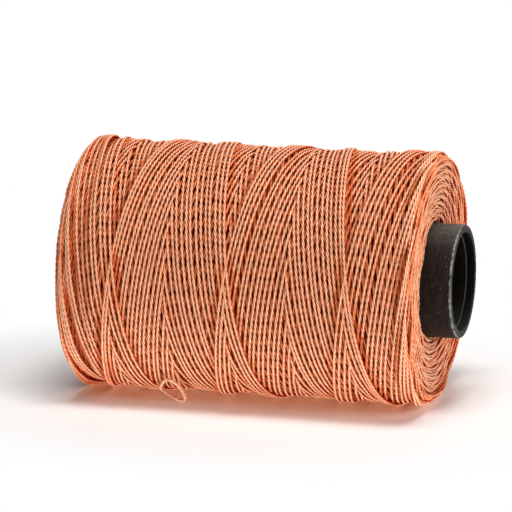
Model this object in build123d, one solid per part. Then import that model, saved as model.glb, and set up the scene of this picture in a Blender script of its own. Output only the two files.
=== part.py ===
"""Waxed thread spool: a moulded tube with a cross-wound package of waxed thread, lying on its side.

Frame: the tube's axis runs along X, +Z is up, and the origin lies under the middle of the tube,
on the surface that the spool rests on. Units are millimetres.
"""
from build123d import *
from build123d.topology import SkipClean
import math
import os

# --- Tube -----------------------------------------------------------------------------------
tube_outer_radius = 13.4     # outside of the moulded tube
tube_wall = 2.2              # wall along the plain bore
tube_projection_right = 5.5  # how far the tube stands out past the package at +X
tube_projection_left = 4.0   # and at the other end
mouth_depth = 2.0            # length of the wider mouth at each end of the bore
mouth_step = 0.38            # how much wider than the bore that mouth is, on the radius
rim_taper_length = 0.8       # worn lead-in outside each rim
rim_taper_depth = 0.15

# --- Package of thread ----------------------------------------------------------------------
package_length = 86.0        # over its two end faces at the shoulder
package_radius = 30.0        # over the outermost turns
shoulder_radius = 3.5        # rounding between the cylinder and each end face
shoulder_steps = 2           # flats that the rounding is cut in
face_dish = 1.6              # how far each end face is drawn in where it meets the tube
thread_diameter = 0.8        # waxed thread

# --- Outer layer of turns -------------------------------------------------------------------
double_strokes = 3           # trips of the guide to the far end and back
turns_per_stroke = 8 / 3     # turns wound on each way across, so the reversals space out evenly
reversal_turn = 0.25         # part of a turn that each reversal takes
shoulder_margin = 3.0        # from an end face to the centre of the furthest turn
seat_clearance = 0.05        # between the core of the package and the turns on it
crossing_clearance = 0.45    # between a turn and the turn that crosses over it
spans_per_stroke = 10        # biarcs between two reversals, each about a quarter turn
first_turn_angle = 84.0      # where the first turn starts, in degrees round the tube
cord_sides = 4               # facets round the thread
rest_flat = thread_diameter / 10   # depth of the flat that the spool rests on

# --- Slack loop of thread -------------------------------------------------------------------
# Each point is (place along the tube from the middle of the package, degrees from the bottom
# towards the front, height of the thread's centre over the core of the package).
loop_route = (
    (-21.4, 22.5, 0.45),
    (-21.4, 22.5, 2.6),
    (-20.6, 30.5, 3.3),
    (-18.0, 37.5, 3.1),
    (-15.7, 33.0, 3.0),
    (-14.9, 26.0, 4.3),
    (-16.2, 24.5, 5.0),
    (-19.6, 27.2, 3.6),
    (-21.4, 29.3, 2.6),
    (-22.4, 29.8, 0.45),
)
loop_radii = (0.9, 1.6, 1.5, 1.4, 1.0, 0.8, 1.4, 1.0)

# --- Worked out from the sizes above ---------------------------------------------------------
thread_radius = thread_diameter / 2
upper_turn_radius = package_radius - thread_radius
lower_turn_radius = upper_turn_radius - thread_diameter - crossing_clearance
core_radius = lower_turn_radius - thread_radius - seat_clearance
axis_height = package_radius - rest_flat
half_package = package_length / 2
half_tube = (package_length + tube_projection_right + tube_projection_left) / 2
package_middle = (tube_projection_left - tube_projection_right) / 2
bore_radius = tube_outer_radius - tube_wall
furthest_turn = half_package - shoulder_margin


def around_tube(profile, middle):
    """Turns a closed (along, radius) wire round the tube's axis, with its own middle here on it."""
    blank = revolve(make_face(profile), Axis.X, 360)
    return Pos(middle, 0, axis_height) * blank


def core_tube():
    """The moulded tube: a plain bore with a wider mouth at each end, and a worn lead-in outside."""
    ledge = half_tube - mouth_depth
    mouth_radius = bore_radius + mouth_step
    rim_radius = tube_outer_radius - rim_taper_depth
    half = [
        (ledge, bore_radius),
        (ledge, mouth_radius),
        (half_tube, mouth_radius),
        (half_tube, rim_radius),
        (half_tube - rim_taper_length, tube_outer_radius),
    ]
    other_half = [(-along, radius) for along, radius in reversed(half)]
    outline = [(along, radius, 0) for along, radius in half + other_half]
    return around_tube(Polyline(*outline, close=True), 0)


def package_core():
    """The inside of the package, wound solid: drawn-in end faces and rounded shoulders."""
    half = [(half_package - face_dish, tube_outer_radius)]
    for step in range(shoulder_steps + 1):
        angle = math.pi / 2 * step / shoulder_steps
        half.append(
            (
                half_package - shoulder_radius * (1 - math.cos(angle)),
                core_radius - shoulder_radius * (1 - math.sin(angle)),
            )
        )
    other_half = [(-along, radius) for along, radius in reversed(half)]
    outline = [(along, radius, 0) for along, radius in half + other_half]
    return around_tube(Polyline(*outline, close=True), package_middle)


def on_package(along, turn, radius):
    """The point at this place along the tube, part of a turn and distance from its axis."""
    angle = 2 * math.pi * turn + math.radians(first_turn_angle)
    return Vector(along, radius * math.cos(angle), radius * math.sin(angle))


def turn_direction(along_per_turn, turn, radius):
    """The thread's direction there, where it gains this much along the tube in a whole turn."""
    angle = 2 * math.pi * turn + math.radians(first_turn_angle)
    round_the_tube = 2 * math.pi * radius
    return Vector(
        along_per_turn, -round_the_tube * math.sin(angle), round_the_tube * math.cos(angle)
    ).normalized()


def winding_stations():
    """Points and directions down the middle of the thread, from the first turn to the last.

    Every stroke to the right lies on the core, and every stroke to the left lies over those.
    The thread changes height where it reverses, between its crossings.
    """
    straight_turns = turns_per_stroke - reversal_turn
    # a rounded reversal reaches half as far along as the corner that it replaces
    advance = furthest_turn / (straight_turns / 2 + reversal_turn / 4)
    stations = []
    for stroke in range(2 * double_strokes):
        to_right = stroke % 2 == 0
        radius = lower_turn_radius if to_right else upper_turn_radius
        side = 1 if to_right else -1
        start = stroke * turns_per_stroke + reversal_turn / 2
        for step in range(spans_per_stroke + 1):
            wound = straight_turns * step / spans_per_stroke
            along = side * advance * (wound - straight_turns / 2)
            turn = start + wound
            stations.append(
                (on_package(along, turn, radius), turn_direction(side * advance, turn, radius))
            )
    last = 2 * double_strokes * turns_per_stroke
    stations.append(
        (on_package(-furthest_turn, last, lower_turn_radius), turn_direction(0, last, lower_turn_radius))
    )
    return stations


def biarc(start, start_direction, end, end_direction):
    """Two tangent arcs from one point and direction to another."""
    chord = end - start
    both = start_direction + end_direction
    along_chord = chord.dot(both)
    spread = 2 * (1 - start_direction.dot(end_direction))
    reach = (math.sqrt(along_chord**2 + spread * chord.dot(chord)) - along_chord) / spread
    middle = (start + end + (start_direction - end_direction) * reach) * 0.5
    first = Edge.make_tangent_arc(start, start_direction, middle)
    second = Edge.make_tangent_arc(middle, first % 1, end)
    return [first, second]


def winding_path():
    """The thread's line: biarcs between the stations, and a straight diameter at each end."""
    stations = winding_stations()
    first, first_direction = stations[0]
    last, last_direction = stations[-1]
    edges = [Edge.make_line(first - first_direction * thread_diameter, first)]
    for (start, leaving), (end, arriving) in zip(stations, stations[1:]):
        edges += biarc(start, leaving, end, arriving)
    edges.append(Edge.make_line(last, last + last_direction * thread_diameter))
    return edges


def thread_along(edges, sides):
    """A faceted thread swept along these edges."""
    path = Wire(edges)
    start = Plane(origin=path @ 0, z_dir=path % 0)
    section = start * RegularPolygon(thread_radius, sides)
    return sweep(section, path=path, clean=False)


def outer_winding():
    """The outermost turns, crossing each other, one unbroken thread with a flat to rest on."""
    edges = winding_path()
    report_winding(edges)
    turns = Pos(package_middle, 0, axis_height) * thread_along(edges, cord_sides)
    below = Pos(0, 0, -package_radius) * Box(2 * half_tube, package_length, 2 * package_radius)
    report_volume("outer_winding", turns, sum(edge.length for edge in edges), cord_sides)
    with SkipClean():
        return turns - below  # every turn keeps its own faces


def over_core(along, degrees, height):
    """The place this high over the core of the package, from the bottom round to the front."""
    angle = math.radians(degrees)
    radius = core_radius + height
    return Vector(
        package_middle + along, -radius * math.sin(angle), axis_height - radius * math.cos(angle)
    )


def slack_loop():
    """A fold of slack thread that stands out of the package near its lower front."""
    route = [over_core(*place) for place in loop_route]
    path = FilletPolyline(*route, radius=list(loop_radii))
    edges = path.edges()
    print("slack_loop: length %.1f mm, radii %s mm" % (path.length, list(loop_radii)))
    loop = thread_along(edges, cord_sides)
    report_volume("slack_loop", loop, path.length, cord_sides)
    return loop


def report_volume(name, solid, length, sides):
    """Prints a thread's volume beside its section times its length."""
    section = sides / 2 * thread_radius**2 * math.sin(2 * math.pi / sides)
    print("%s: volume %.1f mm3, section times length %.1f mm3" % (name, solid.volume, section * length))


def report_winding(edges):
    """Prints the winding's tightest arc and its least gap to itself, measured on points."""
    arcs = [edge for edge in edges if edge.geom_type == GeomType.CIRCLE]
    length = sum(edge.length for edge in edges)
    points = []
    run = 0.0
    for edge in edges:
        steps = max(2, round(edge.length / 0.5))
        points += [(run + edge.length * k / steps, edge @ (k / steps)) for k in range(steps)]
        run += edge.length
    cell = 2 * thread_diameter + crossing_clearance
    grid = {}
    for index, (_, point) in enumerate(points):
        key = (int(point.X // cell), int(point.Y // cell), int(point.Z // cell))
        grid.setdefault(key, []).append(index)
    nearest = math.inf
    for (i, j, k), here in grid.items():
        around = [
            index
            for di in (-1, 0, 1)
            for dj in (-1, 0, 1)
            for dk in (-1, 0, 1)
            for index in grid.get((i + di, j + dj, k + dk), ())
        ]
        for one in here:
            for other in around:
                if points[other][0] - points[one][0] > 10 * thread_diameter:
                    nearest = min(nearest, (points[other][1] - points[one][1]).length)
    print("outer_winding: length %.0f mm, tightest arc %.1f mm" % (length, min(a.radius for a in arcs)))
    print("outer_winding: least gap to itself %.2f mm" % (nearest - thread_diameter))


def main():
    """Writes one STEP file for each node."""
    os.makedirs("parts", exist_ok=True)
    export_step(core_tube(), "parts/core_tube.step")
    export_step(package_core(), "parts/package_core.step")
    export_step(outer_winding(), "parts/outer_winding.step")
    export_step(slack_loop(), "parts/slack_loop.step")


main()
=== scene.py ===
"""Dresses the waxed thread spool: every turn of thread that shows, the end faces, the tube and a stage."""

import math

import bmesh
import bpy
import numpy as np
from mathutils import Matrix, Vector


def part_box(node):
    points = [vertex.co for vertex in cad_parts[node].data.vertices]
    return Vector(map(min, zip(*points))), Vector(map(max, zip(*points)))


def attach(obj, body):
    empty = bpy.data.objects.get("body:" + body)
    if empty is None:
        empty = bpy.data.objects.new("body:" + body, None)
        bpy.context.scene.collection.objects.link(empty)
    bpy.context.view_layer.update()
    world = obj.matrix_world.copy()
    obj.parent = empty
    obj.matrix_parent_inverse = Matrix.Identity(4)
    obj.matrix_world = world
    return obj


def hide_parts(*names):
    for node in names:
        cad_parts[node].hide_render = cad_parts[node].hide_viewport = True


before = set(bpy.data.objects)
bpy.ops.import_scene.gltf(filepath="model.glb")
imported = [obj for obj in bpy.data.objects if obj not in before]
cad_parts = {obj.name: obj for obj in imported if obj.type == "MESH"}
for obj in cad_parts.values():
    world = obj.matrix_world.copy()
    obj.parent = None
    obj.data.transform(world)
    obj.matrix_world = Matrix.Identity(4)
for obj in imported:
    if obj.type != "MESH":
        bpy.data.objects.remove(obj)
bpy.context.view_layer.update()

bl_info = {
    "name": "Waxed Thread Spool",
    "version": (1, 0, 0),
    "blender": (4, 5, 0),
    "location": "View3D > Sidebar > Spool",
    "description": "Winds a cross-wound package of waxed thread on its tube and dresses it",
    "category": "Object",
}

MM = 0.001
TUBE_LOW, TUBE_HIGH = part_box("core_tube")
CORE_LOW, CORE_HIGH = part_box("package_core")
AXIS_HEIGHT = (TUBE_LOW.z + TUBE_HIGH.z) / 2
PACKAGE_MIDDLE = (CORE_LOW.x + CORE_HIGH.x) / 2
TUBE_RADIUS = (TUBE_HIGH.z - TUBE_LOW.z) / 2
COLUMNS = 754  # places round the package at which the winding is worked out
CELL = 0.1  # width along the tube of one place, in millimetres
CONTACT = 0.95  # how far each turn holds off the turns laid across it, as a share of its radius
SHOWN_RINGS = 8100  # rings of mesh in one piece of the newest turns
UNDER_RINGS = 15000  # and in one piece of the turns under them
TUCK = 40  # samples of the thread's end that are tucked under their neighbours
AIM = (-0.00265, 0, 0.0331)  # where the camera looks
WARM, WHITE = (1.0, 0.99, 0.98), (1.0, 1.0, 1.0)

# name, place, width, height, power and colour of each lamp, in metres and watts: at this level, with
# AMBIENT from all round, a plain matte colour on the package renders about as it is written
LAMPS = (
    ("key", (0.10, -0.22, 1.00), 0.55, 0.30, 8.0, WARM),
    ("back", (-0.15, 0.85, 0.42), 0.7, 0.25, 1.04, WHITE),
    ("under", (0.0, -0.18, -0.48), 0.5, 0.26, 2.4, WARM),
    ("right", (0.85, -0.30, 0.36), 0.35, 0.45, 5.2, WARM),
)
AMBIENT = 0.028

# the slack loop's line: along the tube, degrees up from the bottom towards the front, and height over
# the solid package, in millimetres
LOOP_ROUTE = (
    (-21.4, 22.5, 0.45),
    (-21.4, 22.5, 2.6),
    (-20.5, 33.5, 3.2),
    (-17.9, 42.5, 2.7),
    (-15.6, 36.0, 2.9),
    (-14.9, 26.0, 4.3),
    (-16.2, 24.5, 5.0),
    (-19.6, 27.2, 3.6),
    (-21.4, 29.3, 2.6),
    (-22.4, 29.8, 0.45),
)


# --- Sizes and colours ------------------------------------------------------------------------


class ThreadSizes(bpy.types.PropertyGroup):
    """Sizes of the thread and of the way it is wound."""

    diameter: bpy.props.FloatProperty(
        name="Diameter", description="Across the twisted thread", default=0.8 * MM,
        min=0.2 * MM, max=2 * MM, unit="LENGTH", precision=5,
    )
    lead: bpy.props.FloatProperty(
        name="Lead", description="Length of thread in which its plies make one turn",
        default=4.6 * MM, min=0.5 * MM, max=10 * MM, unit="LENGTH", precision=5,
    )
    groove: bpy.props.FloatProperty(
        name="Groove", description="How deep the grooves between the plies are, as a share of the radius",
        default=0.38, min=0.0, max=0.7, subtype="FACTOR",
    )
    step: bpy.props.FloatProperty(
        name="Step", description="Distance between rings of the mesh where the thread shows",
        default=0.45 * MM, min=0.1 * MM, max=2 * MM, unit="LENGTH", precision=5,
    )
    hidden_step: bpy.props.FloatProperty(
        name="Hidden Step", description="Distance between rings where other turns cover the thread",
        default=1.2 * MM, min=0.1 * MM, max=4 * MM, unit="LENGTH", precision=5,
    )
    layer: bpy.props.FloatProperty(
        name="Layer", description="How much one double stroke adds to the package's radius",
        default=0.058 * MM, min=0.01 * MM, max=0.5 * MM, unit="LENGTH", precision=6,
    )
    shown_strokes: bpy.props.IntProperty(
        name="Shown Strokes", description="Newest double strokes, which are made as twisted thread",
        default=27, min=6, max=40,
    )
    under_strokes: bpy.props.IntProperty(
        name="Strokes Under Them", description="Older double strokes, which show only through the gaps",
        default=26, min=0, max=60,
    )
    turns: bpy.props.FloatProperty(
        name="Turns", description="Turns of thread in one double stroke", default=6.039, min=2, max=20,
    )
    advance: bpy.props.FloatProperty(
        name="Advance", description="Way that the guide makes along the tube in one turn",
        default=29.0 * MM, min=5 * MM, max=60 * MM, unit="LENGTH", precision=4,
    )
    newest_angle: bpy.props.FloatProperty(
        name="Newest Angle", description="Where the newest turns cross the middle, up from the front",
        default=math.radians(-5), unit="ROTATION",
    )
    middle: bpy.props.FloatProperty(
        name="Middle", description="Where the guide's two reversals are centred along the tube",
        default=-1.5 * MM, unit="LENGTH", precision=4,
    )
    unevenness: bpy.props.FloatProperty(
        name="Unevenness", description="How far a turn wanders from its even place along the tube",
        default=0.09 * MM, min=0, max=1 * MM, unit="LENGTH", precision=5,
    )
    scatter: bpy.props.FloatProperty(
        name="Scatter", description="How far each reversal misses its even place",
        default=0.25 * MM, min=0, max=2 * MM, unit="LENGTH", precision=5,
    )
    seed: bpy.props.IntProperty(name="Seed", description="Changes the uneven places", default=11)


class PackageSizes(bpy.types.PropertyGroup):
    """Sizes of the whole package of thread."""

    radius: bpy.props.FloatProperty(
        name="Radius", description="Over the outermost turns", default=AXIS_HEIGHT,
        min=15 * MM, max=80 * MM, unit="LENGTH", precision=4,
    )
    half_length: bpy.props.FloatProperty(
        name="Half Length", description="From the middle of the package to an end face",
        default=(CORE_HIGH.x - CORE_LOW.x) / 2, min=10 * MM, max=200 * MM, unit="LENGTH", precision=4,
    )
    shoulder: bpy.props.FloatProperty(
        name="Shoulder", description="Rounding between the cylinder and each end face",
        default=3.0 * MM, min=0.5 * MM, max=10 * MM, unit="LENGTH", precision=4,
    )
    short: bpy.props.FloatProperty(
        name="Short", description="How much nearer to the middle the left end face stands",
        default=0.4 * MM, min=0, max=4 * MM, unit="LENGTH", precision=5,
    )
    swell: bpy.props.FloatProperty(
        name="Swell", description="How much thicker the package is at the top of its right end",
        default=0.7 * MM, min=0, max=3 * MM, unit="LENGTH", precision=5,
    )
    lean: bpy.props.FloatProperty(
        name="Lean", description="How far the right end face leans out at its top and in at its bottom",
        default=0.5 * MM, min=0, max=3 * MM, unit="LENGTH", precision=5,
    )
    dish: bpy.props.FloatProperty(
        name="Dish", description="How far each end face is drawn in at the tube",
        default=1.6 * MM, min=0, max=6 * MM, unit="LENGTH", precision=4,
    )


class TubeSizes(bpy.types.PropertyGroup):
    """Sizes of the moulded tube."""

    wall: bpy.props.FloatProperty(
        name="Wall", description="Along the plain bore", default=2.2 * MM,
        min=0.5 * MM, max=6 * MM, unit="LENGTH", precision=4,
    )
    mouth_depth: bpy.props.FloatProperty(
        name="Mouth Depth", description="Length of the wider mouth at each end of the bore",
        default=2.0 * MM, min=0, max=10 * MM, unit="LENGTH", precision=4,
    )
    mouth_step: bpy.props.FloatProperty(
        name="Mouth Step", description="How much wider the mouth is, on the radius",
        default=0.38 * MM, min=0, max=2 * MM, unit="LENGTH", precision=5,
    )
    rim_wear: bpy.props.FloatProperty(
        name="Rim Wear", description="How far the rims are knocked back and furred",
        default=0.07 * MM, min=0, max=1 * MM, unit="LENGTH", precision=5,
    )


class Finishes(bpy.types.PropertyGroup):
    """Colours of the thread, the tube and the stage."""

    # the crowns' colour where fully lit, paler in part as a painted sheen
    ply: bpy.props.FloatVectorProperty(
        name="Ply", description="Crown of each ply of the thread", subtype="COLOR", size=3,
        default=(0.95, 0.70, 0.48), min=0, max=1,
    )
    # painted shade: the middle colour, used between the plies, on the flanks and on lower turns
    ply_groove: bpy.props.FloatVectorProperty(
        name="Groove Colour", description="Between the plies, and on lower turns", subtype="COLOR", size=3,
        default=(0.90, 0.27, 0.095), min=0, max=1,
    )
    # painted shade: the darkest colour, for thread deep in shade under the turns over it
    shaded_thread: bpy.props.FloatVectorProperty(
        name="Deep Thread", description="Thread under the turns that show", subtype="COLOR", size=3,
        default=(0.46, 0.038, 0.004), min=0, max=1,
    )
    tube: bpy.props.FloatVectorProperty(
        name="Tube", description="Moulded plastic", subtype="COLOR", size=3,
        default=(0.0125, 0.0092, 0.0077), min=0, max=1,
    )
    scuffed: bpy.props.FloatVectorProperty(
        name="Scuffed Plastic", description="Where the rims are worn", subtype="COLOR", size=3,
        default=(0.36, 0.38, 0.34), min=0, max=1,
    )
    floor: bpy.props.FloatVectorProperty(
        name="Floor", description="Floor and backdrop", subtype="COLOR", size=3,
        default=(0.93, 0.93, 0.93), min=0, max=1,
    )


class StageSettings(bpy.types.PropertyGroup):
    """Where the camera stands."""

    azimuth: bpy.props.FloatProperty(
        name="Azimuth", description="Camera's angle round the spool", default=math.radians(15.9),
        unit="ROTATION",
    )
    elevation: bpy.props.FloatProperty(
        name="Elevation", description="Camera's angle above the floor", default=math.radians(12.05),
        unit="ROTATION",
    )
    distance: bpy.props.FloatProperty(
        name="Distance", description="From the camera to the spool", default=1.073, unit="LENGTH",
    )
    lens: bpy.props.FloatProperty(
        name="Lens", description="Focal length", default=319.2, unit="CAMERA",
    )


# --- Small helpers ------------------------------------------------------------------------------


def add_mesh(name, points, faces=(), edges=()):
    """A new object of these points, faces and edges, at the origin."""
    mesh = bpy.data.meshes.new(name)
    mesh.from_pydata([tuple(p) for p in points], [tuple(e) for e in edges], [tuple(f) for f in faces])
    piece = bpy.data.objects.new(name, mesh)
    bpy.context.scene.collection.objects.link(piece)
    return piece


def frozen(piece, name):
    """The piece with its modifiers worked out, as a plain mesh under this name."""
    graph = bpy.context.evaluated_depsgraph_get()
    mesh = bpy.data.meshes.new_from_object(piece.evaluated_get(graph))
    mesh.name = name
    bpy.data.objects.remove(piece)
    plain = bpy.data.objects.new(name, mesh)
    bpy.context.scene.collection.objects.link(plain)
    return plain


def finished(piece, slot, *nodes):
    """Joins the piece to the frame's root body and hides the solids that it stands for; the slot, its finish,
    is not used.
    """
    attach(piece, "root")
    if nodes:
        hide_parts(*nodes)


def on_axis(along, angle, radius, middle=PACKAGE_MIDDLE):
    """Points in metres, from millimetres along the tube from this middle and out from its axis.

    The angle counts up from the front.
    """
    return np.stack(
        (middle / MM + along, -radius * np.cos(angle), AXIS_HEIGHT / MM + radius * np.sin(angle)), axis=-1
    ) * MM


# --- The winding ----------------------------------------------------------------------------------


class Winding:
    """The whole length of thread as it was laid, turn on turn, in millimetres and radians."""

    def __init__(self, thread, package):
        self.turns = thread.turns
        self.count = thread.shown_strokes + thread.under_strokes
        self.radius = thread.diameter / MM / 2
        self.advance = thread.advance / MM
        self.middle = thread.middle / MM
        self.outside = package.radius / MM
        self.face = package.half_length / MM
        self.shoulder = package.shoulder / MM
        self.dish = package.dish / MM
        self.short = package.short / MM
        self.lean = package.lean / MM
        self.swell = {1: package.swell / MM, -1: 0.4 * package.swell / MM}
        self.tube = TUBE_RADIUS / MM
        self.slow = {1: 0.06, -1: 0.15}  # the guide is slower to turn back at the left
        self.depth = thread.layer / MM * self.count
        # the newest stroke crosses the middle of the package at this angle
        last_middle = 2 * math.pi * self.turns * (self.count - 0.75)
        self.first_angle = thread.newest_angle - last_middle
        self.rng = np.random.default_rng(thread.seed)
        self.wander = thread.unevenness / MM
        self.scatter = thread.scatter / MM
        self.lay()

    def face_at(self, radius):
        """How far out along the tube the end face is at this radius."""
        inner = self.outside - self.shoulder
        if radius > inner:
            drop = min(radius - inner, self.shoulder)
            return self.face - self.shoulder + math.sqrt(self.shoulder**2 - drop**2)
        return self.face - self.dish * (inner - radius) / (inner - self.tube)

    def guide(self, turn, to_right, face, misses):
        """Place along the tube, this many turns from the middle of a stroke that ends at this face."""
        quarter = self.turns / 4
        way = turn if to_right else -turn
        slow_right, slow_left = self.slow[1], self.slow[-1]
        before_right, before_left = quarter - way, quarter + way
        along = (
            self.middle
            + self.advance * way
            - self.advance * (np.hypot(before_right, slow_right) - before_right)
            + self.advance * (np.hypot(before_left, slow_left) - before_left)
        )
        right = self.middle + self.advance * (quarter - slow_right)
        left = self.middle - self.advance * (quarter - slow_left)
        along = np.where(along > 0, along * face / right, -along * (face - self.short) / left)
        # each reversal misses its even place by a little
        near_right = np.exp(-((before_right / 0.22) ** 2))
        near_left = np.exp(-((before_left / 0.22) ** 2))
        return along + misses[1] * near_right + misses[0] * near_left

    def lay(self):
        """Lays the strokes one on another, each as a taut thread that bridges the hollows."""
        half = round(COLUMNS * self.turns / 2)
        reach = 4
        offsets = np.arange(-reach, reach + 1)
        contact = CONTACT * self.radius
        rise = np.sqrt(np.maximum(contact**2 - (offsets * CELL) ** 2, 0))
        centre = int(self.face / CELL + 10)
        width = 2 * centre + 1
        places = (np.arange(width) - centre) * CELL
        limit = np.array([self.radius_at(abs(place)) for place in places])
        body = np.where(np.abs(places) < self.face + 1, self.outside - self.depth, self.tube)
        surface = np.tile(body, (COLUMNS, 1))
        total = 2 * half * self.count
        self.along, self.out = np.empty(total), np.empty(total)
        step_angle = 2 * math.pi / COLUMNS
        base = round(self.first_angle / step_angle)
        index = np.arange(half)
        turn = (index + 0.5) / half * self.turns / 2 - self.turns / 4
        last_miss = 0.0
        for stroke in range(2 * self.count):
            to_right = stroke % 2 == 0
            now = self.outside - self.depth * (1 - stroke / 2 / self.count)
            miss = self.rng.normal(0, self.scatter)
            misses = (last_miss, miss) if to_right else (miss, last_miss)
            last_miss = miss
            face = self.face_at(now) - self.radius
            along = self.guide(turn, to_right, face, misses) + self.drift(turn)
            along += self.leaning(along, self.first_angle + (stroke * half + index) * step_angle)
            column = ((stroke * half + index + base) % COLUMNS)[:, None]
            cell = np.clip(np.rint(along / CELL).astype(int) + centre, reach, width - 1 - reach)
            cell = cell[:, None] + offsets
            out = taut(index * step_angle, (surface[column, cell] + rise).max(axis=1), now)
            surface[column, cell] = np.maximum(surface[column, cell], out[:, None] + rise)
            place = slice(stroke * half, (stroke + 1) * half)
            self.along[place], self.out[place] = along, out
        self.half = half
        self.angle = (np.arange(total) + base) * step_angle
        column = (np.arange(total) + base) % COLUMNS
        cell = np.clip(np.rint(self.along / CELL).astype(int) + centre, 0, width - 1)
        # the layers are pressed together so that the package has its outside shape
        crest = np.percentile(surface, 97, axis=0)
        smooth = np.convolve(crest, np.ones(31) / 31, mode="same")
        flat = int((self.face - 1.2) / CELL)
        inner = np.clip(np.arange(width), centre - flat, centre + flat)
        press = ((limit - body) / (smooth - body))[inner]
        pressed = body + (surface - body) * press
        self.out = body[cell] + (self.out - body[cell]) * press[cell]
        over = pressed[column, cell] - self.out - self.radius
        self.covered = np.convolve(over < 0.3, np.ones(31) / 31, mode="same") < 0.6
        self.covered &= np.abs(self.along) < self.face - 5
        # how far each place on the thread lies below the turns round it
        top = pressed
        for axis, shifts in ((0, 5), (1, 12)):
            top = np.max([np.roll(top, shift, axis) for shift in range(-shifts, shifts + 1)], axis=0)
        self.below = top[column, cell] - self.out - self.radius
        self.out = np.minimum(self.out, self.outside - self.radius)
        self.out += self.swelling(self.along, self.angle)

    def leaning(self, along, angle):
        """How much further along the thread lies there because the right end face leans out at its top."""
        return self.lean * np.sin(angle) * np.clip(along / self.face, 0, 1) ** 3

    def swelling(self, along, angle):
        """How much thicker the package is towards its ends, but not where it rests on the floor."""
        share = np.clip((np.abs(along) - 14) / (self.face - 14), 0, 1) ** 2
        swell = np.where(along > 0, self.swell[1], self.swell[-1])
        return swell * share * (0.5 + 0.5 * np.sin(angle))

    def radius_at(self, along):
        """Outside radius of the finished package this far from its middle."""
        past = max(0.0, min(along - self.face + self.shoulder, self.shoulder))
        return self.outside - self.shoulder + math.sqrt(self.shoulder**2 - past**2)

    def drift(self, turn):
        """Slow wandering of a stroke from its even line."""
        waves = self.rng.uniform(0.35, 1.6, 3)
        phases = self.rng.uniform(0, 2 * math.pi, 3)
        sway = sum(np.sin(2 * math.pi * turn * w + p) for w, p in zip(waves, phases)) / 2
        return self.wander * (0.7 * sway + self.rng.normal(0, 1))

    def turn_back(self, side, stroke, layer, span):
        """The arc in which an older double stroke turns back at an end face, and its distance there.

        Each arc climbs out over the one before it and sinks under the one after it.
        """
        slow = self.slow[side]
        peak = self.first_angle + (2 * stroke + (1 if side > 0 else 2)) * math.pi * self.turns
        peak += self.rng.normal(0, 0.035)
        radius = self.outside - self.depth + layer * stroke + self.rng.normal(0, 0.05)
        away = np.linspace(-span, span, 121)
        out = radius - 1.9 * away + 0.12 * np.sin(2.2 * away / span + self.rng.uniform(-1, 1))
        fall = self.advance * (np.hypot(away / (2 * math.pi), slow) - slow)
        face = self.face_at(radius) - self.radius - 0.1 + self.rng.normal(0, 0.12)
        face -= self.short if side < 0 else 0
        along = side * (face - fall)
        along += self.leaning(along, peak + away)
        out += self.swelling(along, peak + away) * (radius / self.outside) ** 2
        return along, peak + away, np.maximum(out, self.tube + self.radius)

    def stroke_slice(self, first, last):
        """The samples of the double strokes from first up to last."""
        return slice(2 * self.half * first, 2 * self.half * last)


def taut(angle, seats, radius):
    """Radius of a thread pulled tight over these seats: straight wherever nothing holds it out."""
    bow = radius * angle**2 / 2
    height = (seats - bow).tolist()
    place = angle.tolist()
    held = []
    for i in range(len(place)):
        while len(held) > 1:
            a, b = held[-2], held[-1]
            if (height[b] - height[a]) * (place[i] - place[a]) > (height[i] - height[a]) * (
                place[b] - place[a]
            ):
                break
            held.pop()
        held.append(i)
    return np.interp(angle, angle[held], (seats - bow)[held]) + bow


def resampled(along, angle, out, step):
    """Points down the thread, this far apart at each place, their run along it, and their sample numbers."""
    points = on_axis(along, angle, out) / MM
    lengths = np.linalg.norm(np.diff(points, axis=0), axis=1)
    run = np.concatenate(([0], np.cumsum(lengths)))
    steps = np.broadcast_to(step, run.shape)
    density = np.concatenate(([0], np.cumsum(lengths / ((steps[1:] + steps[:-1]) / 2))))
    wanted = np.linspace(0, density[-1], max(4, int(round(density[-1])) + 1))
    at = np.interp(wanted, density, np.arange(len(run)))
    index = np.arange(len(run))
    return on_axis(
        np.interp(at, index, along), np.interp(at, index, angle), np.interp(at, index, out)
    ), np.interp(at, index, run), at


# --- Geometry nodes --------------------------------------------------------------------------------


def node(tree, kind, links=None, **settings):
    """A node of this kind, with its settings, and its inputs set or linked by name or number."""
    made = tree.nodes.new(kind)
    for name, value in settings.items():
        setattr(made, name, value)
    for name, value in (links or {}).items():
        socket = made.inputs[name]
        if isinstance(value, bpy.types.NodeSocket):
            tree.links.new(value, socket)
        else:
            socket.default_value = value
    return made


def maths(tree, operation, first, second=0.0):
    """The outcome of one sum on two numbers or sockets."""
    return node(tree, "ShaderNodeMath", {0: first, 1: second}, operation=operation).outputs[0]


def ramp(tree, value, start, end, low=0.0, high=1.0, **settings):
    """A value that goes from low to high as another goes from start to end."""
    ends = {"Value": value, "From Min": start, "From Max": end, "To Min": low, "To Max": high}
    return node(tree, "ShaderNodeMapRange", ends, **settings).outputs[0]


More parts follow.
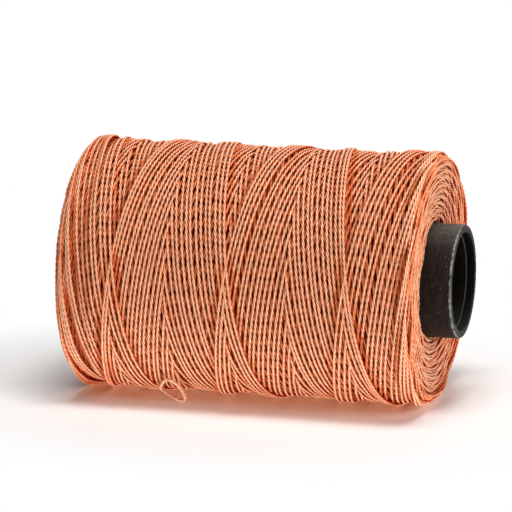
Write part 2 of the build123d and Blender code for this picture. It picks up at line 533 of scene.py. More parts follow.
def thread_tree():
    """Sweeps a twisted three-ply section along chains of edges."""
    name = "Twisted Thread"
    if name in bpy.data.node_groups:
        return bpy.data.node_groups[name]
    tree = bpy.data.node_groups.new(name, "GeometryNodeTree")
    sockets = tree.interface
    sockets.new_socket("Geometry", in_out="INPUT", socket_type="NodeSocketGeometry")
    sockets.new_socket("Geometry", in_out="OUTPUT", socket_type="NodeSocketGeometry")
    for label, kind in (
        ("Radius", "NodeSocketFloat"),
        ("Groove", "NodeSocketFloat"),
        ("Lead", "NodeSocketFloat"),
        ("Points on a Ply", "NodeSocketInt"),
        ("Material", "NodeSocketMaterial"),
    ):
        sockets.new_socket(label, in_out="INPUT", socket_type=kind)
    given = node(tree, "NodeGroupInput")

    curve = node(tree, "GeometryNodeMeshToCurve", {0: given.outputs["Geometry"]})
    run = node(tree, "GeometryNodeInputNamedAttribute", {"Name": "along"}, data_type="FLOAT")
    turns = maths(tree, "DIVIDE", run.outputs[0], given.outputs["Lead"])
    tilted = node(
        tree, "GeometryNodeSetCurveTilt",
        {"Curve": curve.outputs[0], "Tilt": maths(tree, "MULTIPLY", turns, -2 * math.pi)},
    )
    # a circle whose points are drawn in between one ply and the next
    points = given.outputs["Points on a Ply"]
    circle = node(
        tree, "GeometryNodeCurvePrimitiveCircle",
        {"Resolution": maths(tree, "MULTIPLY", points, 3.0), "Radius": given.outputs["Radius"]},
    )
    index = node(tree, "GeometryNodeInputIndex")
    share = maths(tree, "DIVIDE", maths(tree, "MODULO", index.outputs[0], points), points)
    height = maths(tree, "SINE", maths(tree, "MULTIPLY", share, math.pi))
    crown = node(
        tree, "GeometryNodeStoreNamedAttribute",
        {"Geometry": circle.outputs["Curve"], "Name": "crown", "Value": height}, data_type="FLOAT",
    )
    drawn_in = maths(tree, "MULTIPLY", maths(tree, "SUBTRACT", 1.0, height), given.outputs["Groove"])
    place = node(tree, "GeometryNodeInputPosition")
    shaped = node(
        tree, "ShaderNodeVectorMath",
        {0: place.outputs[0], "Scale": maths(tree, "SUBTRACT", 1.0, drawn_in)}, operation="SCALE",
    )
    section = node(
        tree, "GeometryNodeSetPosition", {"Geometry": crown.outputs[0], "Position": shaped.outputs[0]}
    )
    swept = node(
        tree, "GeometryNodeCurveToMesh",
        {"Curve": tilted.outputs[0], "Profile Curve": section.outputs[0], "Fill Caps": True},
    )
    smooth = node(tree, "GeometryNodeSetShadeSmooth", {"Geometry": swept.outputs[0]})
    real = node(tree, "GeometryNodeRealizeInstances", {"Geometry": smooth.outputs[0]})
    painted = node(
        tree, "GeometryNodeSetMaterial",
        {"Geometry": real.outputs[0], "Material": given.outputs["Material"]},
    )
    node(tree, "NodeGroupOutput", {"Geometry": painted.outputs[0]})
    return tree


def sweep_thread(name, chains, radius, groove, lead, points_on_ply, material):
    """A mesh of thread along these chains of (points, run along the thread, shade)."""
    points = np.concatenate([chain[0] for chain in chains])
    runs = np.concatenate([chain[1] for chain in chains])
    shades = np.concatenate([np.full(len(chain[0]), chain[2]) for chain in chains])
    edges = []
    start = 0
    for chain in chains:
        count = len(chain[0])
        edges.append(np.stack((np.arange(count - 1), np.arange(1, count)), axis=1) + start)
        start += count
    edges = np.concatenate(edges)
    mesh = bpy.data.meshes.new(name)
    mesh.vertices.add(len(points))
    mesh.vertices.foreach_set("co", points.astype(np.float32).ravel())
    mesh.edges.add(len(edges))
    mesh.edges.foreach_set("vertices", edges.astype(np.int32).ravel())
    # the plies turn only where the rings of the mesh are close enough to follow them
    steps = np.diff(runs, prepend=runs[0])
    turned = np.cumsum(np.where((steps > 0) & (steps < 1.0), steps, 0))
    for label, values in (("along", turned * MM), ("shade", shades)):
        attribute = mesh.attributes.new(label, "FLOAT", "POINT")
        attribute.data.foreach_set("value", values.astype(np.float32))
    mesh.update()
    rail = bpy.data.objects.new(name, mesh)
    bpy.context.scene.collection.objects.link(rail)
    modifier = rail.modifiers.new("Twisted Thread", "NODES")
    modifier.node_group = thread_tree()
    values = {
        "Radius": radius, "Groove": groove, "Lead": lead,
        "Points on a Ply": points_on_ply, "Material": material,
    }
    for item in modifier.node_group.interface.items_tree:
        if item.in_out == "INPUT" and item.name in values:
            modifier[item.identifier] = values[item.name]
    return frozen(rail, name)


# --- Materials -----------------------------------------------------------------------------------


def grain_group():
    """Fine grain in space: a mask, and a normal roughened by it."""
    name = "Fine Grain"
    if name in bpy.data.node_groups:
        return bpy.data.node_groups[name]
    tree = bpy.data.node_groups.new(name, "ShaderNodeTree")
    sockets = tree.interface
    sockets.new_socket("Size", in_out="INPUT", socket_type="NodeSocketFloat").default_value = 4000
    sockets.new_socket("Depth", in_out="INPUT", socket_type="NodeSocketFloat").default_value = 0.3
    sockets.new_socket("Mask", in_out="OUTPUT", socket_type="NodeSocketFloat")
    sockets.new_socket("Normal", in_out="OUTPUT", socket_type="NodeSocketVector")
    given = node(tree, "NodeGroupInput")
    place = node(tree, "ShaderNodeTexCoord")
    grain = node(
        tree,
        "ShaderNodeTexNoise",
        {"Vector": place.outputs["Object"], "Scale": given.outputs["Size"], "Detail": 3.0},
    )
    bump = node(
        tree,
        "ShaderNodeBump",
        {"Strength": given.outputs["Depth"], "Distance": 0.1 * MM, "Height": grain.outputs["Fac"]},
    )
    node(tree, "NodeGroupOutput", {"Mask": grain.outputs["Fac"], "Normal": bump.outputs["Normal"]})
    return tree


def new_material(name):
    """An empty node material with its output and principled shader."""
    material = bpy.data.materials.new(name)
    material.use_nodes = True
    tree = material.node_tree
    tree.nodes.clear()
    shader = node(tree, "ShaderNodeBsdfPrincipled")
    node(tree, "ShaderNodeOutputMaterial", {"Surface": shader.outputs[0]})
    return material, tree, shader


def mixed(tree, share, first, second, blend="MIX"):
    """A colour between two, by share."""
    mix = tree.nodes.new("ShaderNodeMix")
    mix.data_type = "RGBA"
    mix.blend_type = blend
    for index, value in ((0, share), (6, first), (7, second)):
        if isinstance(value, bpy.types.NodeSocket):
            tree.links.new(value, mix.inputs[index])
        else:
            mix.inputs[index].default_value = value if index == 0 else (*value[:3], 1)
    return mix.outputs[2]


def outward_group():
    """How squarely a surface faces out of the package, from 0 to 1, at its side, ends and shoulders."""
    name = "Outward"
    if name in bpy.data.node_groups:
        return bpy.data.node_groups[name]
    tree = bpy.data.node_groups.new(name, "ShaderNodeTree")
    tree.interface.new_socket("Outward", in_out="OUTPUT", socket_type="NodeSocketFloat")
    round_off = 3.5 * MM
    half = (CORE_HIGH.x - CORE_LOW.x) / 2

    def vectors(operation, first, second=(0.0, 0.0, 0.0), output="Vector"):
        return node(tree, "ShaderNodeVectorMath", {0: first, 1: second}, operation=operation).outputs[output]

    place = node(tree, "ShaderNodeTexCoord")
    from_middle = vectors("SUBTRACT", place.outputs["Object"], (PACKAGE_MIDDLE, 0.0, AXIS_HEIGHT))
    across = vectors("MULTIPLY", from_middle, (0.0, 1.0, 1.0))
    radius = vectors("LENGTH", across, output="Value")
    along = node(tree, "ShaderNodeSeparateXYZ", {0: from_middle}).outputs["X"]
    from_flat = maths(tree, "SUBTRACT", maths(tree, "ABSOLUTE", along), half - round_off)
    past_end = maths(tree, "MAXIMUM", from_flat)
    past_side = maths(tree, "MAXIMUM", maths(tree, "SUBTRACT", radius, AXIS_HEIGHT - round_off), 0.1 * MM)
    sideways = node(
        tree, "ShaderNodeVectorMath", {0: vectors("NORMALIZE", across), "Scale": past_side}, operation="SCALE"
    )
    outwards = maths(tree, "MULTIPLY", maths(tree, "SIGN", along), past_end)
    endways = node(tree, "ShaderNodeCombineXYZ", {"X": outwards})
    out = vectors("NORMALIZE", vectors("ADD", sideways.outputs[0], endways.outputs[0]))
    facing = vectors("DOT_PRODUCT", out, place.outputs["Normal"], "Value")
    node(tree, "NodeGroupOutput", {"Outward": node(tree, "ShaderNodeClamp", {"Value": facing}).outputs[0]})
    return tree


def thread_material(finishes, loose=False):
    """Waxed three-ply thread: crowns painted pale, partly as a painted sheen, painted shade that turns
    grooves, flanks and lower turns red-brown, and a soft waxy sheen.

    Loose thread has no neighbours, so its flanks get little of the painted shade and are almost as pale as
    its crowns.
    """
    material, tree, shader = new_material("loose waxed thread" if loose else "waxed thread")
    crown = node(tree, "ShaderNodeAttribute", attribute_name="crown")
    run = node(tree, "ShaderNodeAttribute", attribute_name="along")
    shade = node(tree, "ShaderNodeAttribute", attribute_name="shade")
    # painted shade: the grooves between the plies are painted darker than the crowns
    ply = ramp(tree, crown.outputs["Fac"], 0.1, 0.85, 0.4, 1.0, interpolation_type="SMOOTHSTEP")
    # painted shade: flanks that face away from the outside of the package are painted darker, less so on
    # loose thread
    outward = node(tree, "ShaderNodeGroup", node_tree=outward_group())
    painted_flank_light = ramp(tree, outward.outputs[0], 0.45, 1.0, 0.85 if loose else 0.0, 1.0)
    painted_crown_light = maths(tree, "MULTIPLY", ply, painted_flank_light)
    slub = node(
        tree, "ShaderNodeTexNoise", {"W": run.outputs["Fac"], "Scale": 330.0, "Detail": 3.0},
        noise_dimensions="1D",
    )
    tone = ramp(tree, slub.outputs["Fac"], 0.3, 0.7, 0.84, 1.05)
    # light that has gone from thread to thread is deeper in colour, so the shaded parts are not only darker
    painted_light = maths(tree, "MULTIPLY", painted_crown_light, shade.outputs["Fac"])
    # painted light and shade: the colour runs from the shaded thread colour through the groove colour to the
    # pale crowns as painted_light rises
    lower, upper = ramp(tree, painted_light, 0.0, 0.35), ramp(tree, painted_light, 0.45, 1.0)
    shaded = mixed(tree, lower, finishes.shaded_thread, finishes.ply_groove)
    shaded = mixed(tree, upper, shaded, finishes.ply)
    toned = mixed(tree, 1.0, shaded, tone, "MULTIPLY")
    tree.links.new(toned, shader.inputs["Base Color"])
    grain = node(tree, "ShaderNodeGroup", node_tree=grain_group())
    grain.inputs["Size"].default_value = 5200
    grain.inputs["Depth"].default_value = 0.3
    rough = ramp(tree, grain.outputs["Mask"], 0.3, 0.7, 0.34, 0.50)
    # the wax is smoothest on the crowns, and dull where the thread is in shade
    dull = ramp(tree, painted_light, 0.2, 0.9, 0.45, 0.0)
    roughness = maths(tree, "ADD", rough, dull)
    tree.links.new(roughness, shader.inputs["Roughness"])
    tree.links.new(grain.outputs["Normal"], shader.inputs["Normal"])
    shader.inputs["Specular IOR Level"].default_value = 0.35
    shader.inputs["Specular Tint"].default_value = (1.0, 0.72, 0.66, 1)
    return material


def deep_material(finishes):
    """Thread in the shade of the turns over it."""
    material, tree, shader = new_material("deep thread")
    grain = node(tree, "ShaderNodeGroup", node_tree=grain_group())
    grain.inputs["Size"].default_value = 1800
    grain.inputs["Depth"].default_value = 0.5
    darker = tuple(0.55 * c for c in finishes.shaded_thread)
    colour = mixed(tree, grain.outputs["Mask"], darker, finishes.shaded_thread)
    tree.links.new(colour, shader.inputs["Base Color"])
    tree.links.new(grain.outputs["Normal"], shader.inputs["Normal"])
    shader.inputs["Roughness"].default_value = 0.7
    shader.inputs["Specular IOR Level"].default_value = 0.1
    return material


def tube_material(finishes):
    """Near-black moulded plastic: turning streaks, specks of dust, and grey furred rims."""
    material, tree, shader = new_material("tube plastic")
    place = node(tree, "ShaderNodeTexCoord")
    axes = node(tree, "ShaderNodeSeparateXYZ", {0: place.outputs["Object"]})
    along = maths(tree, "ABSOLUTE", axes.outputs["X"])
    stretched = node(
        tree, "ShaderNodeMapping", {"Vector": place.outputs["Object"], "Scale": (5200, 160, 160)}
    )
    streak = node(
        tree, "ShaderNodeTexNoise", {"Vector": stretched.outputs[0], "Scale": 1.0, "Detail": 4.0}
    )
    grain = node(tree, "ShaderNodeGroup", node_tree=grain_group())
    grain.inputs["Size"].default_value = 3000
    grain.inputs["Depth"].default_value = 0.25
    streak_tone = ramp(tree, streak.outputs["Fac"], 0.38, 0.68)
    dark, pale = (tuple(share * c for c in finishes.tube) for share in (0.5, 2.6))
    streaked = mixed(tree, streak_tone, dark, pale)
    # specks of dust and lint
    speck = node(
        tree, "ShaderNodeTexNoise", {"Vector": place.outputs["Object"], "Scale": 2300.0, "Detail": 2.0}
    )
    speck_mask = ramp(tree, speck.outputs["Fac"], 0.69, 0.76)
    # the rims: broken grey lines at both edges, and faint scuffs between them
    rim_noise = node(
        tree, "ShaderNodeTexNoise", {"Vector": place.outputs["Object"], "Scale": 900.0, "Detail": 4.0}
    )
    half = TUBE_HIGH.x
    front = ramp(tree, axes.outputs["Y"], 0.5 * TUBE_RADIUS, -0.5 * TUBE_RADIUS, 0.12, 1.0)
    worn = ramp(tree, along, half - 0.9 * MM, half - 0.1 * MM, interpolation_type="SMOOTHSTEP")
    rubbed = maths(tree, "MULTIPLY", worn, front)
    ragged = maths(tree, "MULTIPLY", rubbed, rim_noise.outputs["Fac"])
    scuffs = ramp(tree, ragged, 0.28, 0.66)
    to_axis = node(
        tree, "ShaderNodeVectorMath",
        {0: place.outputs["Object"], 1: (0.0, 0.0, AXIS_HEIGHT)}, operation="SUBTRACT",
    )
    across = node(
        tree, "ShaderNodeVectorMath", {0: to_axis.outputs[0], 1: (0.0, 1.0, 1.0)}, operation="MULTIPLY"
    )
    radius = node(tree, "ShaderNodeVectorMath", {0: across.outputs[0]}, operation="LENGTH").outputs["Value"]

    def line_at(distance, width, strength):
        """A soft line round the tube this far inside its outside."""
        near = maths(tree, "ABSOLUTE", maths(tree, "SUBTRACT", radius, TUBE_RADIUS - distance))
        return ramp(tree, near, width, 0.3 * width, 0.0, strength)

    lines = maths(tree, "MAXIMUM", line_at(0.16 * MM, 0.30 * MM, 1.0), line_at(1.55 * MM, 0.18 * MM, 0.5))
    lines = maths(tree, "MAXIMUM", lines, 0.12)
    rim_mask = maths(tree, "MULTIPLY", scuffs, lines)
    # paler grey in patches where the surface faces up
    upward = node(tree, "ShaderNodeSeparateXYZ", {0: place.outputs["Normal"]})
    paler_on_top = ramp(tree, upward.outputs["Z"], 0.72, 1.0, 0.0, 0.35)
    patchy = maths(tree, "MULTIPLY", paler_on_top, rim_noise.outputs["Fac"])
    paled_on_top = mixed(tree, patchy, streaked, finishes.scuffed)
    dusty = mixed(tree, speck_mask, paled_on_top, tuple(0.5 * c for c in finishes.scuffed))
    worn_colour = mixed(tree, rim_mask, dusty, finishes.scuffed)
    # painted shade: the bore is painted darker, but for a paler line round the edge of its ledge
    outside = ramp(tree, radius, TUBE_RADIUS - 1.75 * MM, TUBE_RADIUS - 1.2 * MM, 0.25, 1.0)
    inner = mixed(tree, 1.0, worn_colour, outside, "MULTIPLY")
    off_ledge = maths(tree, "SUBTRACT", along, half - 2.02 * MM)
    near_ledge = maths(tree, "ABSOLUTE", off_ledge)
    ledge = ramp(tree, near_ledge, 0.12 * MM, 0.05 * MM, 0.0, 0.12)
    within = maths(tree, "LESS_THAN", radius, TUBE_RADIUS - 1.5 * MM)
    ledge_mask = maths(tree, "MULTIPLY", ledge, within)
    tree.links.new(mixed(tree, ledge_mask, inner, finishes.scuffed), shader.inputs["Base Color"])
    shader.inputs["Specular IOR Level"].default_value = 0.05
    rough = ramp(tree, streak.outputs["Fac"], 0.3, 0.7, 0.38, 0.58)
    tree.links.new(rough, shader.inputs["Roughness"])
    bump = node(
        tree, "ShaderNodeBump",
        {
            "Strength": 0.25, "Distance": 0.05 * MM,
            "Height": streak.outputs["Fac"], "Normal": grain.outputs["Normal"],
        },
    )
    tree.links.new(bump.outputs[0], shader.inputs["Normal"])
    return material


def mirrored_or_seen(tree):
    """1 for rays that the background is shown to: straight from the camera, or off or through a surface."""
    rays = node(tree, "ShaderNodeLightPath")
    gloss = maths(tree, "MAXIMUM", rays.outputs["Is Glossy Ray"], rays.outputs["Is Transmission Ray"])
    return maths(tree, "MAXIMUM", rays.outputs["Is Camera Ray"], gloss)


def floor_material(finishes):
    """Matte pale floor that keeps the spool's shadow and runs out into plain white."""
    material, tree, shader = new_material("pale floor")
    shader.inputs["Base Color"].default_value = (*finishes.floor, 1)
    shader.inputs["Roughness"].default_value = 0.9
    shader.inputs["Specular IOR Level"].default_value = 0.0
    place = node(tree, "ShaderNodeTexCoord")
    centred = node(
        tree, "ShaderNodeMapping", {"Vector": place.outputs["Object"], "Scale": (1.0, 1.35, 1.0)}
    )
    away = node(tree, "ShaderNodeVectorMath", {0: centred.outputs[0]}, operation="LENGTH")
    far = ramp(tree, away.outputs["Value"], 0.055, 0.115, interpolation_type="SMOOTHSTEP")
    seen = maths(tree, "MULTIPLY", far, mirrored_or_seen(tree))
    white = node(tree, "ShaderNodeEmission", {"Color": (1, 1, 1, 1), "Strength": 1.0})
    mix = node(tree, "ShaderNodeMixShader", {0: seen, 1: shader.outputs[0], 2: white.outputs[0]})
    output = next(n for n in tree.nodes if n.type == "OUTPUT_MATERIAL")
    tree.links.new(mix.outputs[0], output.inputs["Surface"])
    return material


# --- Pieces -----------------------------------------------------------------------------------------


WOUND = {}


def shared_winding(context):
    """The winding, worked out once for all the pieces made from it."""
    if "winding" not in WOUND:
        scene = context.scene
        WOUND["winding"] = Winding(scene.spool_thread, scene.spool_package)
        WOUND["thread"] = thread_material(scene.spool_finishes)
    return WOUND["winding"], WOUND["thread"]



class SPOOL_OT_outer_turns(bpy.types.Operator):
    """Make the newest turns as twisted thread, in runs that follow one another"""

    bl_idname = "spool.outer_turns"
    bl_label = "Outer Turns"

    def execute(self, context):
        winding, material = shared_winding(context)
        thread = context.scene.spool_thread
        first = winding.count - thread.shown_strokes
        part = winding.stroke_slice(first, winding.count)
        steps = np.where(winding.covered[part], thread.hidden_step / MM, thread.step / MM)
        steps = np.convolve(np.pad(steps, 6, mode="edge"), np.ones(13) / 13, mode="valid")
        out = winding.out[part].copy()
        out[-TUCK:] -= np.linspace(0, 1.2, TUCK) ** 1.5
        points, runs, at = resampled(winding.along[part], winding.angle[part], out, steps)
        below = np.interp(at, np.arange(len(out)), winding.below[part])
        # painted shade: the deeper a place lies below the turns round it, the lower its shade, which the
        # material paints darker
        shades = 1 - 0.75 * np.clip((below - 0.15) / 0.75, 0, 1)
        pieces = math.ceil(len(points) / SHOWN_RINGS)
        cuts = np.linspace(0, len(points) - 1, pieces + 1).astype(int)
        for index, (a, b) in enumerate(zip(cuts[:-1], cuts[1:]), 1):
            name = "outer_turns_%d" % index
            piece = sweep_thread(
                name, [(points[a : b + 1], runs[a : b + 1], shades[a : b + 1])],
                thread.diameter / 2, thread.groove, thread.lead, 4, material,
            )
            finished(piece, "waxed_thread", *(("outer_winding",) if index == 1 else ()))
        return {"FINISHED"}


class SPOOL_OT_under_turns(bpy.types.Operator):
    """Make the older turns that show through the gaps, and the dark inside of the package"""

    bl_idname = "spool.under_turns"
    bl_label = "Under Turns"

    def execute(self, context):
        winding, material = shared_winding(context)
        thread = context.scene.spool_thread
        last = winding.count - thread.shown_strokes
        first = last - thread.under_strokes
        part = winding.stroke_slice(first, last)
        # near the ends these turns show between the newest ones
        near_end = np.clip((np.abs(winding.along[part]) - (winding.face - 7)) / 2, 0, 1)
        points, runs, at = resampled(
            winding.along[part], winding.angle[part], winding.out[part], 2.4 - 1.8 * near_end
        )
        # painted shade: these older turns are painted dark, less so near the ends where they show between the
        # newest ones
        shades = 0.12 + 0.6 * np.interp(at, np.arange(len(near_end)), near_end)
        pieces = math.ceil(len(points) / UNDER_RINGS)
        cuts = np.linspace(0, len(points) - 1, pieces + 1).astype(int)
        for index, (a, b) in enumerate(zip(cuts[:-1], cuts[1:]), 1):
            piece = sweep_thread(
                "under_turns_%d" % index, [(points[a : b + 1], runs[a : b + 1], shades[a : b + 1])],
                thread.diameter / 2, thread.groove, thread.lead, 2, material,
            )
            finished(piece, "waxed_thread")
        inside = self.make_inside(winding, first)
        inside.data.materials.append(deep_material(context.scene.spool_finishes))
        finished(inside, "waxed_thread", "package_core")
        return {"FINISHED"}

    def make_inside(self, winding, first):
        """A closed body of revolution that stops light from passing through the package."""
        part = winding.stroke_slice(first, first + 2)
        radius = float(np.median(winding.out[part])) - 0.9
        face = 1.5
        corner = 2.0
        inner = winding.tube + 0.02
        half = [(winding.face_at(inner) - face, inner)]
        for share in np.linspace(0, 1, 8):
            turn = share * math.pi / 2
            top = winding.face_at(radius - corner) - face
            half.append((top - corner * (1 - math.cos(turn)), radius - corner * (1 - math.sin(turn))))
        profile = half + [(-along, out) for along, out in reversed(half)]
        return lathe("package_inside", profile, 128, PACKAGE_MIDDLE)


def lathe(name, profile, segments, middle, wobble=None):
    """A closed body of revolution round the tube's axis, from a closed profile in millimetres."""
    angles = np.linspace(0, 2 * math.pi, segments, endpoint=False)
    rings = len(profile)
    along = np.array([p[0] for p in profile])[None, :] + np.zeros((segments, 1))
    out = np.array([p[1] for p in profile])[None, :] + np.zeros((segments, 1))
    if wobble is not None:
        along, out = wobble(angles, along, out)
    points = on_axis(along, angles[:, None] + np.zeros((1, rings)), out, middle).reshape(-1, 3)
    faces = []
    for i in range(segments):
        j = (i + 1) % segments
        for k in range(rings):
            m = (k + 1) % rings
            faces.append((i * rings + k, i * rings + m, j * rings + m, j * rings + k))
    piece = add_mesh(name, points, faces)
    mesh = bmesh.new()
    mesh.from_mesh(piece.data)
    bmesh.ops.recalc_face_normals(mesh, faces=mesh.faces)
    mesh.to_mesh(piece.data)
    mesh.free()
    piece.data.shade_smooth()
    return piece


class SPOOL_OT_end_faces(bpy.types.Operator):
    """Make the arcs of thread that show where each older layer turns back at an end face"""

    bl_idname = "spool.end_faces"
    bl_label = "End Faces"

    def execute(self, context):
        winding, material = shared_winding(context)
        thread = context.scene.spool_thread
        layer = thread.layer / MM
        arcs = int((winding.outside - winding.depth - winding.tube - winding.radius) / layer)
        for side, name, span in ((1, "right_face", 0.72), (-1, "left_face", 0.85)):
            chains = []
            for stroke in range(-arcs, 2):
                along, angle, out = winding.turn_back(side, stroke, layer, span)
                points, runs, _ = resampled(along, angle, out, 0.55)
                shade = 0.9 + 0.10 * math.sin(stroke * 12.9898)
                chains.append((points, runs + stroke * 0.71, shade))
            for half, part in enumerate((chains[: 4 * arcs // 7], chains[4 * arcs // 7 :]), 1):
                piece = sweep_thread(
                    "%s_%d" % (name, half), part, thread.diameter / 2, thread.groove, thread.lead, 3, material
                )
                finished(piece, "waxed_thread")
        return {"FINISHED"}


class SPOOL_OT_slack_loop(bpy.types.Operator):
    """Make the fold of slack thread that stands out of the package"""

    bl_idname = "spool.slack_loop"
    bl_label = "Slack Loop"

    def execute(self, context):
        material = thread_material(context.scene.spool_finishes, loose=True)
        thread = context.scene.spool_thread
        core = (CORE_HIGH.z - CORE_LOW.z) / 2 / MM
        curve = bpy.data.curves.new("slack_line", "CURVE")
        curve.dimensions = "3D"
        spline = curve.splines.new("NURBS")
        spline.points.add(len(LOOP_ROUTE) - 1)
        for point, (along, degrees, height) in zip(spline.points, LOOP_ROUTE):
            angle = math.radians(degrees) - math.pi / 2
            point.co = (*on_axis(np.array(along), np.array(angle), np.array(core + height)), 1)
        spline.order_u = 3
        spline.use_endpoint_u = True
        spline.resolution_u = 16
        line = bpy.data.objects.new("slack_line", curve)
        bpy.context.scene.collection.objects.link(line)
        graph = bpy.context.evaluated_depsgraph_get()
        mesh = bpy.data.meshes.new_from_object(line.evaluated_get(graph))
        points = np.array([v.co[:] for v in mesh.vertices])
        bpy.data.objects.remove(line)
        run = np.concatenate(([0], np.cumsum(np.linalg.norm(np.diff(points, axis=0), axis=1)))) / MM
        wanted = np.linspace(0, run[-1], int(run[-1] / 0.2) + 1)
        fine = np.stack([np.interp(wanted, run, points[:, k]) for k in range(3)], axis=1)
        piece = sweep_thread(
            "slack_loop_thread", [(fine, wanted, 1.0)],
            thread.diameter / 2, thread.groove, thread.lead, 4, material,
        )
        finished(piece, "waxed_thread", "slack_loop")
        return {"FINISHED"}


class SPOOL_OT_tube(bpy.types.Operator):
    """Make the moulded tube with its mouths, soft edges and furred rims"""

    bl_idname = "spool.tube"
    bl_label = "Tube"

    def execute(self, context):
        sizes = context.scene.spool_tube
        outer = TUBE_RADIUS / MM
        bore = outer - sizes.wall / MM
        half_length = TUBE_HIGH.x / MM
        mouth = bore + sizes.mouth_step / MM
        ledge = half_length - sizes.mouth_depth / MM
        half = [
            (ledge - 0.12, bore), (ledge - 0.03, bore + 0.02), (ledge, bore + 0.06),
            (ledge + 0.01, mouth - 0.05), (ledge + 0.05, mouth), (ledge + 0.2, mouth),
            (half_length - 0.8, mouth), (half_length - 0.3, mouth), (half_length - 0.12, mouth + 0.03),
            (half_length - 0.03, mouth + 0.11), (half_length, mouth + 0.22),
        ]
        rim = outer - 0.15
        flat = np.linspace(mouth + 0.38, rim - 0.36, 5)
        half += [(half_length, float(r)) for r in flat]
        half += [
            (half_length - 0.01, rim - 0.22), (half_length - 0.06, rim - 0.1),
            (half_length - 0.16, rim - 0.02), (half_length - 0.3, rim + 0.03),
            (half_length - 0.42, rim + 0.07), (half_length - 0.5, rim + 0.04),
            (half_length - 0.62, rim + 0.11), (half_length - 0.85, outer - 0.01), (half_length - 1.1, outer),
            (half_length - 2.2, outer), (half_length - 4.0, outer), (half_length - 6.5, outer), (30.0, outer),
        ]
        profile = half + [(-along, out) for along, out in reversed(half)]
        wear = sizes.rim_wear / MM
        rng = np.random.default_rng(5)

        def furred(angles, along, out):
            """Knocks the rims back unevenly, most where they stand furthest out."""
            rough = np.zeros_like(angles)
            for waves, size in ((3, 0.25), (7, 0.3), (19, 0.35), (47, 0.4), (101, 0.5)):
                rough += size * np.sin(waves * angles + rng.uniform(0, 6.3))
            near = np.clip((np.abs(along) - (half_length - 0.9)) / 0.8, 0, 1)
            jitter = rng.normal(0, 0.45, along.shape)
            dent = np.maximum(0, rough[:, None] * 0.5 + jitter)
            face = np.clip((np.abs(along) - (half_length - 0.2)) / 0.2, 0, 1)
            along = along - np.sign(along) * wear * dent * near
            out = out - wear * 0.6 * np.abs(jitter) * near * (1 - face)
            return along, out

        piece = lathe("tube", profile, 360, 0, furred)
        piece.data.materials.append(tube_material(context.scene.spool_finishes))
        finished(piece, "tube_plastic", "core_tube")
        return {"FINISHED"}


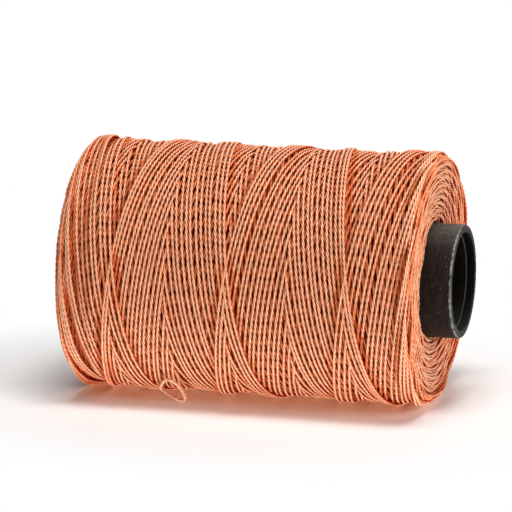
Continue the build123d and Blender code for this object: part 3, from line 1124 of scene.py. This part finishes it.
class SPOOL_OT_stage(bpy.types.Operator):
    """Set the floor, the lights and the camera"""

    bl_idname = "spool.stage"
    bl_label = "Stage"

    def execute(self, context):
        scene = context.scene
        finishes = scene.spool_finishes
        self.make_floor(finishes)
        self.make_world()
        for lamp in LAMPS:
            self.add_light(*lamp)
        self.make_camera(scene)
        scene.view_settings.view_transform = "Standard"
        return {"FINISHED"}

    def make_floor(self, finishes):
        """A pale floor that turns up into a backdrop behind the spool, and lets light up from below."""
        rows = [(-1.5, 0.0), (0.9, 0.0)]
        for share in np.linspace(0.1, 1, 10):
            turn = share * math.pi / 2
            rows.append((0.9 + 0.5 * math.sin(turn), 0.5 * (1 - math.cos(turn))))
        rows.append((1.4, 2.2))
        points = [(x, y, z) for y, z in rows for x in (-2.5, 2.5)]
        faces = [(2 * i, 2 * i + 1, 2 * i + 3, 2 * i + 2) for i in range(len(rows) - 1)]
        floor = add_mesh("floor", points, faces)
        floor.data.shade_smooth()
        floor.data.materials.append(floor_material(finishes))
        floor.visible_shadow = False

    def make_world(self):
        """Faint even light from all round, which the camera and any gloss see as white."""
        world = bpy.data.worlds.new("studio")
        bpy.context.scene.world = world
        world.use_nodes = True
        tree = world.node_tree
        tree.nodes.clear()
        faint = node(tree, "ShaderNodeBackground", {"Color": (1, 1, 1, 1), "Strength": AMBIENT})
        white = node(tree, "ShaderNodeBackground", {"Color": (1, 1, 1, 1), "Strength": 1.0})
        mix = node(
            tree, "ShaderNodeMixShader",
            {0: mirrored_or_seen(tree), 1: faint.outputs[0], 2: white.outputs[0]},
        )
        node(tree, "ShaderNodeOutputWorld", {0: mix.outputs[0]})

    def add_light(self, name, place, width, height, power, colour):
        """A soft rectangular light at place, turned to the spool."""
        light = bpy.data.lights.new(name, "AREA")
        light.shape = "RECTANGLE"
        light.size, light.size_y = width, height
        light.energy = power
        light.color = colour
        lamp = bpy.data.objects.new(name, light)
        bpy.context.scene.collection.objects.link(lamp)
        lamp.location = place
        target = Vector((0, 0, AXIS_HEIGHT))
        lamp.rotation_euler = (target - lamp.location).to_track_quat("-Z", "Y").to_euler()

    def make_camera(self, scene):
        """The camera, looking at the middle of the spool."""
        settings = scene.spool_stage
        data = bpy.data.cameras.new("camera")
        data.lens = settings.lens
        data.sensor_width = 36
        data.clip_start, data.clip_end = 0.05, 20
        camera = bpy.data.objects.new("camera", data)
        scene.collection.objects.link(camera)
        a, e = settings.azimuth, settings.elevation
        back = Vector((math.sin(a) * math.cos(e), -math.cos(a) * math.cos(e), math.sin(e)))
        camera.location = Vector(AIM) + back * settings.distance
        camera.rotation_euler = (-back).to_track_quat("-Z", "Y").to_euler()
        scene.camera = camera


class SPOOL_PT_panel(bpy.types.Panel):
    """Lists the pieces of the spool"""

    bl_idname = "SPOOL_PT_panel"
    bl_label = "Waxed Thread Spool"
    bl_space_type = "VIEW_3D"
    bl_region_type = "UI"
    bl_category = "Spool"

    def draw(self, context):
        for group in GROUPS:
            box = self.layout.box()
            settings = getattr(context.scene, group)
            for name in settings.bl_rna.properties.keys():
                if name not in ("rna_type", "name"):
                    box.prop(settings, name)
        for operator in OPERATORS:
            self.layout.operator(operator.bl_idname)


GROUPS = {
    "spool_thread": ThreadSizes,
    "spool_package": PackageSizes,
    "spool_tube": TubeSizes,
    "spool_finishes": Finishes,
    "spool_stage": StageSettings,
}
OPERATORS = (
    SPOOL_OT_tube,
    SPOOL_OT_under_turns,
    SPOOL_OT_outer_turns,
    SPOOL_OT_end_faces,
    SPOOL_OT_slack_loop,
    SPOOL_OT_stage,
)


def register():
    for group in GROUPS.values():
        bpy.utils.register_class(group)
    for name, group in GROUPS.items():
        setattr(bpy.types.Scene, name, bpy.props.PointerProperty(type=group))
    for operator in OPERATORS:
        bpy.utils.register_class(operator)
    bpy.utils.register_class(SPOOL_PT_panel)


def unregister():
    bpy.utils.unregister_class(SPOOL_PT_panel)
    for operator in reversed(OPERATORS):
        bpy.utils.unregister_class(operator)
    for name, group in reversed(GROUPS.items()):
        delattr(bpy.types.Scene, name)
        bpy.utils.unregister_class(group)


def main():
    register()
    bpy.ops.spool.tube()
    bpy.ops.spool.under_turns()
    bpy.ops.spool.outer_turns()
    bpy.ops.spool.end_faces()
    bpy.ops.spool.slack_loop()
    bpy.ops.spool.stage()


if __name__ == "__main__":
    main()
